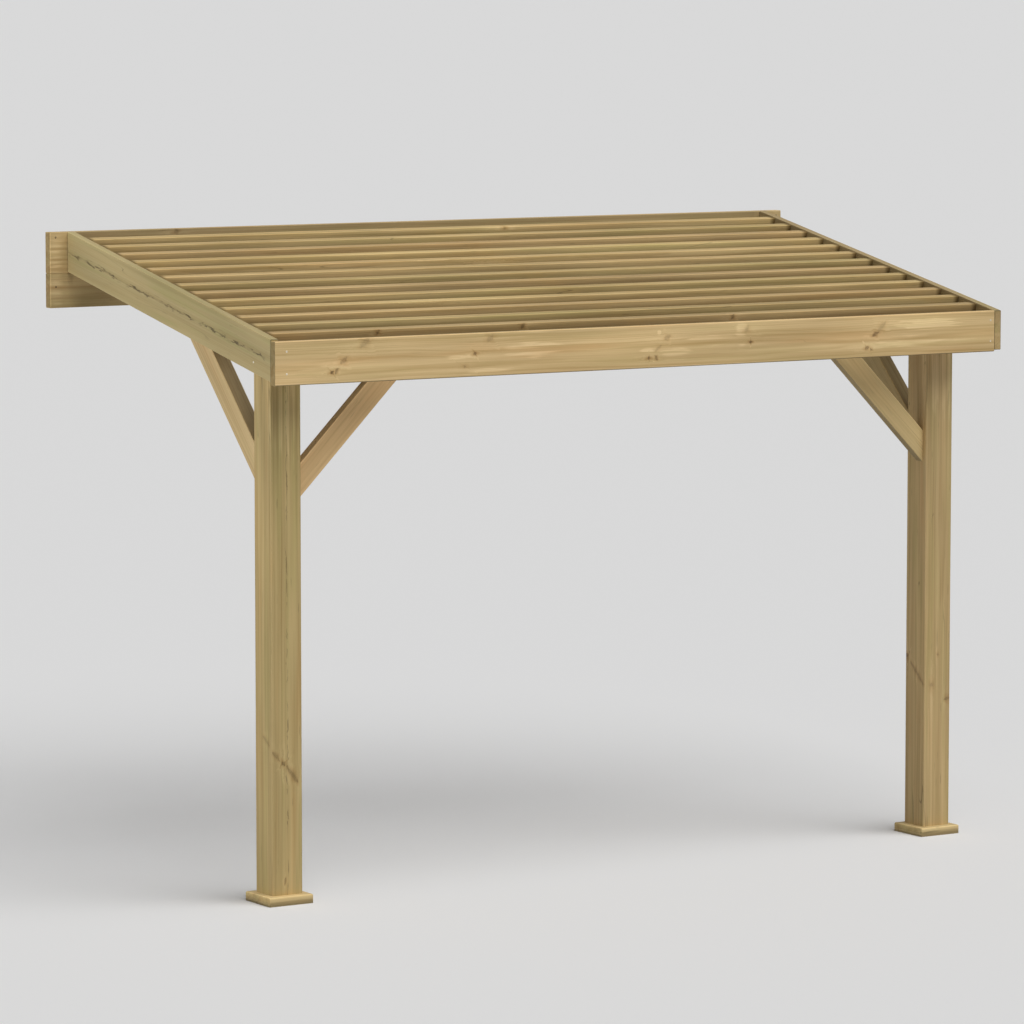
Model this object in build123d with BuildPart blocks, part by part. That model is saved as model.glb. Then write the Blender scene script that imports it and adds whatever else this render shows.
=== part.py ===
"""Lean-to timber pergola: a slatted sloping roof fixed to a wall and carried in front by two braced posts.

Lengths are in millimetres. X runs along the wall, Y points into the wall and Z is up.
The origin is the centre of the upper wall board's back face, which lies against the wall.
"""
import os
from math import cos, radians, tan

from build123d import *

# Roof outline: over the outer rafters, and from the wall boards to the front beam's face.
roof_width = 3122
roof_run = 1545
roof_pitch_deg = 11.4

# Wall boards: two planed boards, one above the other, screwed flat to the wall.
wall_board_overhang = 72
wall_board_thick = 38
upper_board_depth = 152
lower_board_depth = 127

# Outer rafters and front beam: boards on edge that frame the roof.
rafter_thick = 31
rafter_depth = 145
beam_thick = 31
beam_depth = 153
beam_clear_height = 1845

# Roof slats: battens on edge between the outer rafters, just below their top edges.
slat_count = 13
slat_thick = 30
slat_depth = 45
slat_drop = 3

# Inner rafters and header: they carry the slats and bring the roof down to the posts.
inner_rafter_thick = 58
header_thick = 45
header_depth = 95
header_setback = 22

# Posts, the plates under them, and the braces in their upper corners.
post_side = 120
post_setback = 185
post_inset = 86
plate_side = 176
plate_thick = 33
plate_chamfer = 5
front_brace_thick = 42
front_brace_width = 84
front_brace_leg = 422
side_brace_thick = 58
side_brace_width = 91
side_brace_leg = 409
brace_angle_deg = 45

# Planed timber has its long edges eased.
arris = 2
post_arris = 3

# Places worked out from the sizes above.
slope = tan(radians(roof_pitch_deg))
slope_cos = cos(radians(roof_pitch_deg))
roof_top_at_wall = upper_board_depth / 2
wall_boards_front = -wall_board_thick
roof_front = wall_boards_front - roof_run
beam_back = roof_front + beam_thick
roof_left = -roof_width / 2
slat_left = roof_left + rafter_thick
slat_length = roof_width - 2 * rafter_thick


def roof_top(y):
    """Height of the outer rafters' top edge at a distance from the wall."""
    return roof_top_at_wall + (y - wall_boards_front) * slope


def rafter_underside(y):
    """Height of the underside that the outer and the inner rafters share."""
    return roof_top(y) - rafter_depth / slope_cos


def slat_underside(y):
    """Height of the slats' underside, where the inner rafters carry them."""
    return roof_top(y) - (slat_drop + slat_depth) / slope_cos


beam_top = roof_top(roof_front)
beam_bottom = beam_top - beam_depth
ground = beam_bottom - beam_clear_height
post_front = roof_front + post_setback
post_back = post_front + post_side
post_centre_y = post_front + post_side / 2
post_centre_x = roof_width / 2 - post_inset - post_side / 2
header_front = post_front + header_setback
header_centre_y = header_front + header_thick / 2
header_bottom = beam_bottom
header_centre_z = header_bottom + header_depth / 2
header_length = 2 * post_centre_x - post_side
brace_cos = cos(radians(brace_angle_deg))
brace_rise = tan(radians(brace_angle_deg))

os.makedirs("parts", exist_ok=True)


def save(piece, name):
    """Label a finished piece and write it to a file of its own."""
    piece.part.label = name
    export_step(piece.part, f"parts/{name}.step")


def wall_board(name, top, depth):
    """A board flat against the wall, longer than the roof at both ends."""
    with BuildPart() as board:
        with BuildSketch(Plane.XZ):
            with Locations((0, top)):
                Rectangle(roof_width + 2 * wall_board_overhang, depth, align=(Align.CENTER, Align.MAX))
        extrude(amount=wall_board_thick)
        chamfer(board.edges().filter_by(Axis.X), length=arris)
    save(board, name)


wall_board("upper_wall_board", roof_top_at_wall, upper_board_depth)
wall_board("lower_wall_board", roof_top_at_wall - upper_board_depth, lower_board_depth)


def outer_rafter(name, left_face, front_end):
    """A sloping board on edge, cut plumb at both ends."""
    with BuildPart() as rafter:
        with BuildSketch(Plane.YZ.offset(left_face)):
            with BuildLine():
                Polyline(
                    (front_end, rafter_underside(front_end)),
                    (front_end, roof_top(front_end)),
                    (wall_boards_front, roof_top_at_wall),
                    (wall_boards_front, rafter_underside(wall_boards_front)),
                    close=True,
                )
            make_face()
        extrude(amount=rafter_thick)
        long_edges = rafter.edges().filter_by(Axis((0, 0, 0), (0, 1, slope)))
        chamfer(long_edges, length=arris)
    save(rafter, name)


# The left rafter butts against the beam's back, and the right one closes the beam's other end.
outer_rafter("left_rafter", roof_left, beam_back)
outer_rafter("right_rafter", roof_left + roof_width - rafter_thick, roof_front)

with BuildPart() as front_beam:
    with BuildSketch(Plane.XZ.offset(-beam_back)):
        with Locations((roof_left, beam_bottom)):
            Rectangle(roof_width - rafter_thick, beam_depth, align=(Align.MIN, Align.MIN))
    extrude(amount=beam_thick)
    chamfer(front_beam.edges().filter_by(Axis.X), length=arris)
save(front_beam, "front_beam")

# The slats lie square to the slope, evenly spaced between the beam and the wall boards.
roof_plane = Plane(
    origin=(slat_left, wall_boards_front, roof_top_at_wall),
    x_dir=(0, 1, slope),
    z_dir=(1, 0, 0),
)
slat_field = (wall_boards_front - beam_back) / slope_cos
slat_gap = (slat_field - slat_count * slat_thick) / (slat_count + 1)
slat_pitch = slat_thick + slat_gap


def roof_slat(name, station):
    """A batten on the roof slope, with its front face at the given distance up the slope."""
    with BuildPart() as slat:
        with BuildSketch(roof_plane):
            with Locations((station, -slat_drop)):
                Rectangle(slat_thick, slat_depth, align=(Align.MIN, Align.MAX))
        extrude(amount=slat_length)
        chamfer(slat.edges().filter_by(Axis.X), length=arris)
    save(slat, name)


for index in range(slat_count):
    roof_slat(f"slat_{index + 1:02d}", slat_gap + index * slat_pitch - slat_field)

# The header stands on edge between the posts' upper ends.
with BuildPart() as post_header:
    with BuildSketch(Plane.XZ.offset(-header_front - header_thick)):
        with Locations((0, header_centre_z)):
            Rectangle(header_length, header_depth)
    extrude(amount=header_thick)
save(post_header, "post_header")


def inner_rafter(name, middle, over_header):
    """A rafter under the slats, from the beam to the wall boards, notched where it crosses the header."""
    with BuildPart() as rafter:
        with BuildSketch(Plane.YZ.offset(middle - inner_rafter_thick / 2)):
            with BuildLine():
                Polyline(
                    (beam_back, rafter_underside(beam_back)),
                    (beam_back, slat_underside(beam_back)),
                    (wall_boards_front, slat_underside(wall_boards_front)),
                    (wall_boards_front, rafter_underside(wall_boards_front)),
                    close=True,
                )
            make_face()
            if over_header:
                with Locations((header_centre_y, header_centre_z)):
                    Rectangle(header_thick, header_depth, mode=Mode.SUBTRACT)
        extrude(amount=inner_rafter_thick)
    save(rafter, name)


# The outer two rest on the posts, and the middle one halves the slats' span and sits over the header.
inner_rafter("left_inner_rafter", -post_centre_x, False)
inner_rafter("middle_inner_rafter", 0, True)
inner_rafter("right_inner_rafter", post_centre_x, False)


def base_plate(name, middle):
    """A square wooden plate under a post, with its top edges chamfered."""
    with BuildPart() as plate:
        with BuildSketch(Plane.XY.offset(ground)):
            with Locations((middle, post_centre_y)):
                Rectangle(plate_side, plate_side)
        extrude(amount=plate_thick)
        chamfer(plate.faces().sort_by(Axis.Z)[-1].edges(), length=plate_chamfer)
    save(plate, name)


def post(name, middle):
    """A square post with eased edges, from its plate up to the roof slope, where its top is cut to fit."""
    foot = ground + plate_thick
    with BuildPart() as upright:
        with BuildSketch(Plane.YZ.offset(middle - post_side / 2)):
            with BuildLine():
                Polyline(
                    (post_front, foot),
                    (post_front, rafter_underside(post_front)),
                    (post_back, rafter_underside(post_back)),
                    (post_back, foot),
                    close=True,
                )
            make_face()
        extrude(amount=post_side)
        chamfer(upright.edges().filter_by(Axis.Z), length=post_arris)
    save(upright, name)


def front_brace(name, post_face, direction):
    """A brace from a post's inner face up to the header; direction is 1 to the right, -1 to the left."""
    lower = header_bottom - front_brace_leg * brace_rise
    cut = front_brace_width / brace_cos
    with BuildPart() as brace:
        with BuildSketch(Plane.XZ.offset(-header_front - front_brace_thick)):
            with BuildLine():
                Polyline(
                    (post_face, lower),
                    (post_face + direction * front_brace_leg, header_bottom),
                    (post_face + direction * (front_brace_leg - cut / brace_rise), header_bottom),
                    (post_face, lower + cut),
                    close=True,
                )
            make_face()
        extrude(amount=front_brace_thick)
    save(brace, name)


def side_brace(name, middle):
    """A brace from a post's back face up to the underside of the inner rafter over it."""
    lower = header_bottom - side_brace_leg * brace_rise
    cut = side_brace_width / brace_cos
    lower_reach = (rafter_underside(post_back) - lower) / (brace_rise - slope)
    upper_reach = (rafter_underside(post_back) - lower - cut) / (brace_rise - slope)
    with BuildPart() as brace:
        with BuildSketch(Plane.YZ.offset(middle - side_brace_thick / 2)):
            with BuildLine():
                Polyline(
                    (post_back, lower),
                    (post_back + lower_reach, rafter_underside(post_back + lower_reach)),
                    (post_back + upper_reach, rafter_underside(post_back + upper_reach)),
                    (post_back, lower + cut),
                    close=True,
                )
            make_face()
        extrude(amount=side_brace_thick)
    save(brace, name)


for side, direction in (("left", -1), ("right", 1)):
    middle = direction * post_centre_x
    base_plate(f"{side}_base_plate", middle)
    post(f"{side}_post", middle)
    front_brace(f"{side}_front_brace", middle - direction * post_side / 2, -direction)
    side_brace(f"{side}_side_brace", middle)
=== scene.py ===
"""Looks of the lean-to timber pergola: a slatted sloping roof on two braced posts and two boards at the back.

Lengths are in metres. X runs along the front beam, Y points to the back and Z is up.
"""
from math import cos, radians, sin, sqrt

import bmesh
import bpy
from mathutils import Matrix, Vector


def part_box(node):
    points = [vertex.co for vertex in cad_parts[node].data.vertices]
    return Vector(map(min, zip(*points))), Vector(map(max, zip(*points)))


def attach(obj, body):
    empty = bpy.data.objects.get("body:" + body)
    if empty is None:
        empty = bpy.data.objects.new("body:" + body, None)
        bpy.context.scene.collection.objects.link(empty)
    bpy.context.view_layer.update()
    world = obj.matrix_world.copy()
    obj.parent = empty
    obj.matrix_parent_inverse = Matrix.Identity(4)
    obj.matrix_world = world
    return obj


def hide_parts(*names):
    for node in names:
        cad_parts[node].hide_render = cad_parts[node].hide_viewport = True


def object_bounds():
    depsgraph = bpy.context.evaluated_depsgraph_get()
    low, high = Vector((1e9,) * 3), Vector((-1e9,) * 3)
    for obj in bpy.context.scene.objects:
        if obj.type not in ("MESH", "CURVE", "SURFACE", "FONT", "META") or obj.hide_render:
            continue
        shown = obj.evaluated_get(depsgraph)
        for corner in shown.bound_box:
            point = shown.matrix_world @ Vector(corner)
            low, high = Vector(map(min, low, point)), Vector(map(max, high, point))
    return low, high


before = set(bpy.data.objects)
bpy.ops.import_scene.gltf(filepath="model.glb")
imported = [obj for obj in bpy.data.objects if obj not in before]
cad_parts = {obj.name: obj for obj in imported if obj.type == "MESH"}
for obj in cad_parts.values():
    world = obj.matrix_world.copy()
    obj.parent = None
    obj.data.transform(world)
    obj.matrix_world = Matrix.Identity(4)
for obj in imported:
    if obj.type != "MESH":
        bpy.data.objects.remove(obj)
cad_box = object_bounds()

# WALL BOARDS
# Two planed softwood boards, one above the other, pressure treated and screwed up flat at the back of the roof.
# The grain runs along them, their long edges are eased by the planer and their ends are sawn.


def box_corners(node):
    """The lowest and the highest corner of a timber."""
    return [Vector(corner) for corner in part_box(node)]


def softened_piece(name, bm):
    """Make the worked shape a piece of the one rigid body, with its eased edges shaded softly."""
    mesh = bpy.data.meshes.new(name)
    bm.to_mesh(mesh)
    bm.free()
    mesh.shade_smooth()
    piece = bpy.data.objects.new(name, mesh)
    bpy.context.collection.objects.link(piece)
    piece.modifiers.new("soft_arris", "WEIGHTED_NORMAL").keep_sharp = False
    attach(piece, "root")
    return piece


def sawn_timber(name, outline, across, grain, ease, end_ease=0.0008, edge_wear_and_highlight=0.4, lower_edge_wear_and_shade=0.4, end_edge_painted_light=0.0,
                upper_face_shade=0.0, lower_face_shade=0.0):
    """Push a flat outline through the timber's thickness and ease the edges, most of all those with the grain.

    The faces keep a tone that is partly wear and partly painted light. Eased edges are paler from wear and a painted
    highlight. Darker values on lower eased edges, on the edges of the ends and on the faces that look up or down
    are painted shade, and paler values on the edges of the ends are a painted highlight.
    """
    bm = bmesh.new()
    wear_and_light = bm.faces.layers.float.new("wear_and_painted_light")
    face = bm.faces.new([bm.verts.new(corner) for corner in outline])
    pushed = bmesh.ops.extrude_face_region(bm, geom=[face])["geom"]
    bmesh.ops.translate(bm, vec=across, verts=[part for part in pushed if isinstance(part, bmesh.types.BMVert)])
    bmesh.ops.recalc_face_normals(bm, faces=bm.faces)
    bm.normal_update()
    for face in bm.faces:
        # Painted shade: negative values darken the faces that look up or down.
        face[wear_and_light] = upper_face_shade if face.normal.z > 0.5 else lower_face_shade if face.normal.z < -0.5 else 0.0
    with_grain = [
        edge for edge in bm.edges
        if abs((edge.verts[1].co - edge.verts[0].co).normalized().dot(grain)) > 0.99
    ]
    eased = bmesh.ops.bevel(
        bm, geom=with_grain, offset=ease, offset_type="OFFSET", segments=3, profile=0.5,
        affect="EDGES", clamp_overlap=True, material=-1,
    )["faces"]
    for face in eased:
        face[wear_and_light] = lower_edge_wear_and_shade if face.normal.z < -0.2 else edge_wear_and_highlight
    sawn_edges = [edge for edge in bm.edges if edge.calc_face_angle(0) > 0.6]
    eased = bmesh.ops.bevel(
        bm, geom=sawn_edges, offset=end_ease, offset_type="OFFSET", segments=2, profile=0.5,
        affect="EDGES", clamp_overlap=True, material=-1,
    )["faces"]
    for face in eased:
        face[wear_and_light] = end_edge_painted_light
    return softened_piece(name, bm)


def box_outline(low, high):
    """The lower face of a box, and the way up through it."""
    outline = [(low.x, low.y, low.z), (high.x, low.y, low.z), (high.x, high.y, low.z), (low.x, high.y, low.z)]
    return outline, (0, 0, high.z - low.z)


def grain_frame(centre, run, up):
    """The timber's own axes: X with the grain, Z towards the given side."""
    side = up.cross(run)
    turn = Matrix((run, side, up)).transposed()
    return Matrix.Translation(centre) @ turn.to_4x4()


def put(tree, kind, values=None, **settings):
    """Add a node, set it up, and join or set its sockets."""
    node = tree.nodes.new(kind)
    for key, value in settings.items():
        setattr(node, key, value)
    for key, value in (values or {}).items():
        if isinstance(value, bpy.types.NodeSocket):
            tree.links.new(value, node.inputs[key])
        else:
            node.inputs[key].default_value = value
    return node


def calc(tree, operation, *terms, clamp=False):
    """One step of arithmetic on single values."""
    values = dict(enumerate(terms))
    return put(tree, "ShaderNodeMath", values, operation=operation, use_clamp=clamp).outputs[0]


def along(tree, operation, *terms, out=0):
    """One step of arithmetic on places or directions; out is 1 where the answer is a single value."""
    values = dict(enumerate(terms))
    return put(tree, "ShaderNodeVectorMath", values, operation=operation).outputs[out]


def scaled(tree, vector, size):
    """A place or direction made longer or shorter."""
    values = {0: vector, "Scale": size}
    return put(tree, "ShaderNodeVectorMath", values, operation="SCALE").outputs[0]


def blend(tree, share, first, second, mode="MIX"):
    """Mix the second colour into the first, or multiply by it, as far as share says."""
    values = {0: share, 6: first, 7: second}
    return put(tree, "ShaderNodeMix", values, data_type="RGBA", blend_type=mode).outputs[2]


def ease_in(tree, value, start, end):
    """A smooth step from 0 at start to 1 at end."""
    return put(
        tree, "ShaderNodeMapRange", {"Value": value, "From Min": start, "From Max": end},
        interpolation_type="SMOOTHSTEP",
    ).outputs[0]


def cloud(tree, vector, stretch, detail, rough=0.5):
    """Soft noise, stretched with the grain: stretch gives how many waves go in a metre each way."""
    spread = along(tree, "MULTIPLY", vector, stretch)
    return put(tree, "ShaderNodeTexNoise", {"Vector": spread, "Scale": 1.0, "Detail": detail, "Roughness": rough})


def new_group(name, takes, gives):
    """An empty node group, with what it takes and what it gives."""
    group = bpy.data.node_groups.new(name, "ShaderNodeTree")
    for label, kind, value in takes:
        socket = group.interface.new_socket(label, in_out="INPUT", socket_type=kind)
        if value is not None:
            socket.default_value = value
    for label, kind in gives:
        group.interface.new_socket(label, in_out="OUTPUT", socket_type=kind)
    return group, group.nodes.new("NodeGroupInput").outputs, group.nodes.new("NodeGroupOutput").inputs


VALUE, VECTOR, COLOUR = "NodeSocketFloat", "NodeSocketVector", "NodeSocketColor"

# The trunk's growth rings stand round a pith that wanders with the grain, so a face shows long arches
# and an end shows rings. Late wood is the darker end of each year.
growth_rings, taken, given = new_group(
    "growth_rings",
    [("Place", VECTOR, None), ("Pith", VECTOR, None), ("Ring width", VALUE, 0.006), ("Wander", VALUE, 0.03)],
    [("Late wood", VALUE), ("Streak", VALUE), ("Fibre", VALUE), ("Tone", VALUE), ("Hue", VALUE), ("Check", VALUE)],
)
bend = cloud(growth_rings, taken["Place"], (0.75, 3.0, 3.0), 2.0)
bend = along(growth_rings, "SUBTRACT", bend.outputs["Color"], (0.5, 0.5, 0.5))
bend = scaled(growth_rings, bend, taken["Wander"])
from_pith = along(growth_rings, "SUBTRACT", taken["Place"], taken["Pith"])
from_pith = along(growth_rings, "MULTIPLY", along(growth_rings, "ADD", from_pith, bend), (0.0, 1.0, 1.0))
reach = along(growth_rings, "LENGTH", from_pith, out=1)
ripple = cloud(growth_rings, taken["Place"], (4.0, 45.0, 45.0), 2.0).outputs[0]
reach = calc(growth_rings, "MULTIPLY_ADD", ripple, 0.004, reach)
year = calc(growth_rings, "DIVIDE", reach, taken["Ring width"])
uneven = put(growth_rings, "ShaderNodeTexNoise", {"W": year, "Scale": 0.35, "Detail": 1.0}, noise_dimensions="1D")
year = calc(growth_rings, "MULTIPLY_ADD", uneven.outputs[0], 2.2, year)
season = calc(growth_rings, "FRACT", year)
growth = put(growth_rings, "ShaderNodeValToRGB", {"Fac": season})
growth.color_ramp.elements[0].color = (0.02, 0.02, 0.02, 1)
growth.color_ramp.elements[1].color = (0.05, 0.05, 0.05, 1)
for place, shade in ((0.45, 0.16), (0.82, 1.0), (0.93, 0.8)):
    growth.color_ramp.elements.new(place).color = (shade, shade, shade, 1)
whole_year = calc(growth_rings, "FLOOR", year)
harvest = put(growth_rings, "ShaderNodeTexWhiteNoise", {"W": whole_year}, noise_dimensions="1D")
strength = calc(growth_rings, "MULTIPLY_ADD", harvest.outputs[0], 0.6, 0.4)
growth_rings.links.new(calc(growth_rings, "MULTIPLY", growth.outputs[0], strength), given["Late wood"])
for label, stretch, detail in (
    ("Streak", (0.9, 52.0, 52.0), 3.0), ("Fibre", (5.0, 320.0, 320.0), 2.0),
    ("Tone", (1.3, 9.0, 9.0), 1.0), ("Hue", (1.5, 24.0, 24.0), 2.0),
):
    growth_rings.links.new(cloud(growth_rings, taken["Place"], stretch, detail, 0.6).outputs[0], given[label])
split = cloud(growth_rings, taken["Place"], (1.3, 24.0, 24.0), 1.0).outputs[0]
split = calc(growth_rings, "ABSOLUTE", calc(growth_rings, "SUBTRACT", split, 0.5))
split = calc(growth_rings, "SUBTRACT", 1.0, ease_in(growth_rings, split, 0.002, 0.007))
where = ease_in(growth_rings, cloud(growth_rings, taken["Place"], (1.7, 14.0, 14.0), 1.0).outputs[0], 0.58, 0.66)
split = calc(growth_rings, "MULTIPLY", split, where)
fleck = ease_in(growth_rings, cloud(growth_rings, taken["Place"], (11.0, 170.0, 170.0), 1.0).outputs[0], 0.7, 0.8)
fleck = calc(growth_rings, "MULTIPLY", fleck, 0.7)
growth_rings.links.new(calc(growth_rings, "MAXIMUM", split, fleck), given["Check"])

# A knot is where a branch grew. Its rim is dark and ragged, the wood round it is stained brown, and the grain
# parts and pales beside it. It lies on a short line, so that a branch cut lengthwise shows as a streak.
branch_knot, taken, given = new_group(
    "branch_knot",
    [("Place", VECTOR, None), ("Knot", VALUE, 0.0), ("Stain", VALUE, 0.0), ("Halo and painted light", VALUE, 0.0),
     ("Centre", VECTOR, None), ("Reach", VECTOR, None), ("Radius", VALUE, 0.01), ("Strength", VALUE, 1.0)],
    [("Place", VECTOR), ("Knot", VALUE), ("Stain", VALUE), ("Halo and painted light", VALUE)],
)
ragged = cloud(branch_knot, taken["Place"], (50.0, 75.0, 75.0), 2.0, 0.5)
ragged = along(branch_knot, "SUBTRACT", ragged.outputs["Color"], (0.5, 0.5, 0.5))
ragged = scaled(branch_knot, ragged, calc(branch_knot, "MULTIPLY", taken["Radius"], 1.5))
jagged = along(branch_knot, "ADD", along(branch_knot, "SUBTRACT", taken["Place"], taken["Centre"]), ragged)
share = along(branch_knot, "DOT_PRODUCT", jagged, taken["Reach"], out=1)
size = along(branch_knot, "DOT_PRODUCT", taken["Reach"], taken["Reach"], out=1)
share = calc(branch_knot, "DIVIDE", share, calc(branch_knot, "MAXIMUM", size, 0.000001))
share = calc(branch_knot, "MAXIMUM", calc(branch_knot, "MINIMUM", share, 1.0), -1.0)
from_knot = along(branch_knot, "SUBTRACT", jagged, scaled(branch_knot, taken["Reach"], share))
taper = calc(branch_knot, "MULTIPLY_ADD", calc(branch_knot, "MULTIPLY", share, share), -0.5, 1.0)
girth = calc(branch_knot, "MULTIPLY", taken["Radius"], taper)
spread = calc(branch_knot, "DIVIDE", along(branch_knot, "LENGTH", from_knot, out=1), girth)
ring = put(branch_knot, "ShaderNodeValToRGB", {"Fac": calc(branch_knot, "MULTIPLY", spread, 0.5)})
ring.color_ramp.elements[0].color = (0.75, 0.75, 0.75, 1)
ring.color_ramp.elements[1].color = (0.0, 0.0, 0.0, 1)
ring.color_ramp.elements[1].position = 0.95
for place, shade in ((0.14, 1.0), (0.3, 0.85), (0.45, 0.45), (0.68, 0.14)):
    ring.color_ramp.elements.new(place).color = (shade, shade, shade, 1)
mottle = ease_in(branch_knot, cloud(branch_knot, taken["Place"], (150.0, 190.0, 190.0), 2.0).outputs[0], 0.3, 0.6)
mottle = calc(branch_knot, "MULTIPLY_ADD", mottle, 0.4, 0.6)
knot = calc(branch_knot, "MULTIPLY", calc(branch_knot, "MULTIPLY", ring.outputs[0], mottle), taken["Strength"])
branch_knot.links.new(calc(branch_knot, "MAXIMUM", taken["Knot"], knot), given["Knot"])
for label, stretch, start, end in (("Stain", (0.5, 1.0, 1.0), 0.6, 3.0), ("Halo and painted light", (0.2, 1.0, 1.0), 1.0, 5.0)):
    wide = along(branch_knot, "LENGTH", along(branch_knot, "MULTIPLY", from_knot, stretch), out=1)
    mask = ease_in(branch_knot, calc(branch_knot, "DIVIDE", wide, girth), end, start)
    mask = calc(branch_knot, "MULTIPLY", mask, taken["Strength"])
    branch_knot.links.new(calc(branch_knot, "MAXIMUM", taken[label], mask), given[label])
parting = along(branch_knot, "MULTIPLY", from_knot, (0.0, 0.75, 0.75))
parting = scaled(branch_knot, parting, mask)
branch_knot.links.new(along(branch_knot, "SUBTRACT", taken["Place"], parting), given["Place"])

# Beside a knot the wood often pales in a flame that runs out with the grain; the same pale patch also paints light.
pale_flame_and_painted_light, taken, given = new_group(
    "pale_flame_and_painted_light",
    [("Place", VECTOR, None), ("Halo and painted light", VALUE, 0.0),
     ("Centre", VECTOR, None), ("Size", VECTOR, None), ("Strength", VALUE, 1.0)],
    [("Halo and painted light", VALUE)],
)
away = along(pale_flame_and_painted_light, "DIVIDE", along(pale_flame_and_painted_light, "SUBTRACT", taken["Place"], taken["Centre"]), taken["Size"])
lick = cloud(pale_flame_and_painted_light, taken["Place"], (8.0, 110.0, 110.0), 2.0).outputs["Color"]
lick = along(pale_flame_and_painted_light, "MULTIPLY", along(pale_flame_and_painted_light, "SUBTRACT", lick, (0.5, 0.5, 0.5)), (1.8, 1.8, 1.8))
away = along(pale_flame_and_painted_light, "ADD", away, lick)
lit = ease_in(pale_flame_and_painted_light, along(pale_flame_and_painted_light, "LENGTH", away, out=1), 1.2, 0.3)
lit = calc(pale_flame_and_painted_light, "MULTIPLY", lit, taken["Strength"])
pale_flame_and_painted_light.links.new(calc(pale_flame_and_painted_light, "MAXIMUM", taken["Halo and painted light"], lit), given["Halo and painted light"])

# Smaller knots turn up along the timber at no set places.
stray_knots, taken, given = new_group(
    "stray_knots",
    [("Place", VECTOR, None), ("Spacing", VALUE, 0.25), ("Radius", VALUE, 0.009)],
    [("Centre", VECTOR), ("Radius", VALUE), ("Strength", VALUE)],
)
per_metre = calc(stray_knots, "DIVIDE", 1.0, taken["Spacing"])
cells = put(stray_knots, "ShaderNodeTexVoronoi", {"Vector": taken["Place"], "Scale": per_metre, "Randomness": 1.0})
stray_knots.links.new(cells.outputs["Position"], given["Centre"])
luck = put(stray_knots, "ShaderNodeSeparateColor", {0: cells.outputs["Color"]})
girth = calc(stray_knots, "MULTIPLY_ADD", luck.outputs[0], 0.9, 0.4)
stray_knots.links.new(calc(stray_knots, "MULTIPLY", girth, taken["Radius"]), given["Radius"])
stray_knots.links.new(ease_in(stray_knots, luck.outputs[1], 0.3, 0.9), given["Strength"])

# A board sawn through the heart shows the pith as a thread that opens into ragged dark splits.
heart_line, taken, given = new_group(
    "heart_line",
    [("Place", VECTOR, None), ("Centre", VECTOR, None), ("Side", VECTOR, None),
     ("Width", VALUE, 0.004), ("Strength", VALUE, 1.0)],
    [("Line", VALUE)],
)
from_line = along(heart_line, "SUBTRACT", taken["Place"], taken["Centre"])
across = along(heart_line, "DOT_PRODUCT", from_line, taken["Side"], out=1)
sway = calc(heart_line, "SUBTRACT", cloud(heart_line, taken["Place"], (5.0, 0.0, 0.0), 3.0, 0.6).outputs[0], 0.5)
across = calc(heart_line, "ABSOLUTE", calc(heart_line, "MULTIPLY_ADD", sway, 0.035, across))
near = calc(heart_line, "DIVIDE", across, taken["Width"])
ragged = cloud(heart_line, taken["Place"], (24.0, 130.0, 130.0), 3.0, 0.65).outputs[0]
ragged = calc(heart_line, "MULTIPLY_ADD", near, -0.12, ragged)
splits = ease_in(heart_line, ragged, 0.435, 0.515)
stretch = cloud(heart_line, taken["Place"], (7.0, 0.0, 0.0), 1.0).outputs[0]
splits = calc(heart_line, "MULTIPLY", splits, ease_in(heart_line, stretch, 0.36, 0.56))
thread = calc(heart_line, "MULTIPLY", ease_in(heart_line, near, 0.5, 0.1), ease_in(heart_line, stretch, 0.3, 0.6))
line = calc(heart_line, "MAXIMUM", splits, calc(heart_line, "MULTIPLY", thread, 0.45))
line = calc(heart_line, "MULTIPLY", line, ease_in(heart_line, near, 2.0, 1.0))
heart_line.links.new(calc(heart_line, "MULTIPLY", line, taken["Strength"]), given["Line"])

# Treated softwood is straw coloured with darker late wood, with streaks that lean to pink or to the green
# of the salts. Sawn ends drink more of the treatment, and the same end tint can also lay painted shade on a timber's
# faces near its ends. Planed arrises are paler, partly from wear and partly as a painted highlight, and the same
# tone also carries painted shade and painted light on chosen faces and edges.
treated_wood, taken, given = new_group(
    "treated_wood",
    [("Late wood", VALUE, 0.0), ("Streak", VALUE, 0.5), ("Fibre", VALUE, 0.5), ("Tone", VALUE, 0.5),
     ("Hue", VALUE, 0.5), ("Check", VALUE, 0.0), ("Line", VALUE, 0.0), ("Knot", VALUE, 0.0),
     ("Stain", VALUE, 0.0), ("Halo and painted light", VALUE, 0.0), ("End", VALUE, 0.0), ("Wear and painted light", VALUE, 0.0),
     ("Early colour", COLOUR, None), ("Late colour", COLOUR, None), ("End and shade colour", COLOUR, None),
     ("Green", VALUE, 0.3), ("Blush", VALUE, 0.5), ("Checks", VALUE, 0.5)],
    [("Colour", COLOUR), ("Roughness", VALUE), ("Height", VALUE)],
)
depth = calc(treated_wood, "MULTIPLY", taken["Late wood"], 0.45)
depth = calc(treated_wood, "MULTIPLY_ADD", taken["Streak"], 2.2, depth)
depth = calc(treated_wood, "MULTIPLY_ADD", taken["Fibre"], 0.5, depth)
depth = calc(treated_wood, "SUBTRACT", depth, 1.1, clamp=True)
colour = blend(treated_wood, depth, taken["Early colour"], taken["Late colour"])
tone = put(treated_wood, "ShaderNodeMapRange", {"Value": taken["Tone"], "From Min": 0.25, "From Max": 0.75,
                                                "To Min": 0.84, "To Max": 1.12}).outputs[0]
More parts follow.
